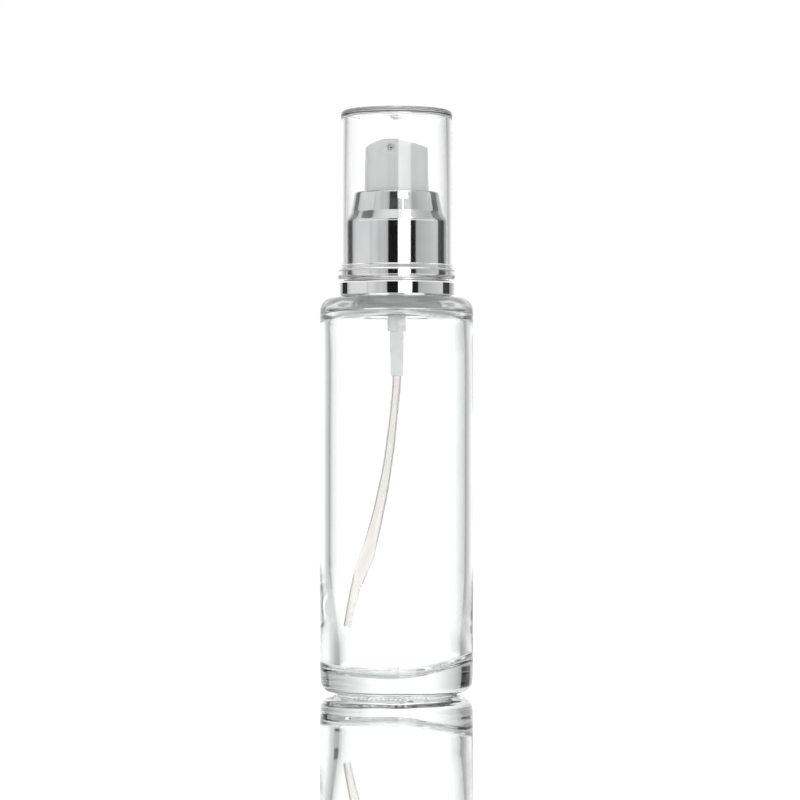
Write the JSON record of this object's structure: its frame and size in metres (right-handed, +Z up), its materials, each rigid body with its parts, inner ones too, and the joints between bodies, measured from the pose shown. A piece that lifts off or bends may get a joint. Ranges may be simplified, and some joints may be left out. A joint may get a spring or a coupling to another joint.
{
  "type": "foundation bottle",
  "caption": "Clear cylindrical glass bottle with a lotion pump, curved dip tube, bright metal collar and clear push-on overcap.",
  "frame": {"origin": "centre of the bottle's base, on the surface it stands on", "axes": "+Z up the bottle's axis, the nozzle faces -Y, +X to the right as the nozzle is faced"},
  "size_m": [0.037, 0.037, 0.141],
  "materials": {
    "bottle_glass": "clear flint glass, fire-polished, glossy",
    "cap_clear": "water-clear moulded styrene, glossy",
    "collar_silver": "bright anodised, mirror-like silver",
    "head_natural": "natural translucent polypropylene, semi-gloss",
    "housing_natural": "natural translucent polypropylene, semi-gloss",
    "tube_clear": "soft clear polyethylene, semi-gloss",
    "closure_white": "white polypropylene, satin",
    "pump_white": "natural white plastic, satin",
    "piston_soft": "soft white polyethylene, satin",
    "gasket_foam": "closed-cell white foam, matt",
    "spring_steel": "drawn stainless spring wire",
    "ball_steel": "polished stainless steel"
  },
  "bodies": {
    "bottle": {"glass_bottle": "bottle_glass"},
    "pump_engine": {"pump_housing": "housing_natural", "stem_guide": "pump_white", "neck_gasket": "gasket_foam", "dip_tube": "tube_clear"},
    "screw_closure": {"inner_closure": "closure_white", "chrome_collar": "collar_silver"},
    "cap": {"overcap": "cap_clear"},
    "spring": {"return_spring": "spring_steel"},
    "press_head": {"actuator": "head_natural", "pump_stem": "pump_white", "valve_core": "pump_white"},
    "piston_seal": {"piston": "piston_soft"},
    "ball": {"check_ball": "ball_steel"}
  },
  "joints": [
    {"name": "engine_rise", "type": "slide", "parent": "bottle", "child": "pump_engine", "axis": [0, 0, 1], "range_m": [0, 0.0048]},
    {"name": "closure_turn", "type": "hinge", "parent": "pump_engine", "child": "screw_closure", "pos_m": [0, 0, 0.1035], "axis": [0, 0, 1], "range_deg": [0, 540]},
    {"name": "overcap_lift", "type": "slide", "parent": "screw_closure", "child": "cap", "axis": [0, 0, 1], "range_m": [0, 0.045]},
    {"name": "head_spin", "type": "hinge", "parent": "pump_engine", "child": "spring", "pos_m": [0, 0, 0.1035], "axis": [0, 0, 1], "continuous": true},
    {"name": "head_press", "type": "slide", "parent": "spring", "child": "press_head", "axis": [0, 0, -1], "range_m": [0, 0.004], "stiffness_N_per_m": 1440, "springref_m": -0.0034, "deforming": ["return_spring"]},
    {"name": "piston_slip", "type": "slide", "parent": "press_head", "child": "piston_seal", "axis": [0, 0, 1], "range_m": [0, 0.0005]},
    {"name": "ball_lift", "type": "slide", "parent": "pump_engine", "child": "ball", "axis": [0, 0, 1], "range_m": [0, 0.001]}
  ],
  "couplings": [
    {"joint": "engine_rise", "follows": "closure_turn", "m_per_rad": 0.00050532}
  ]
}
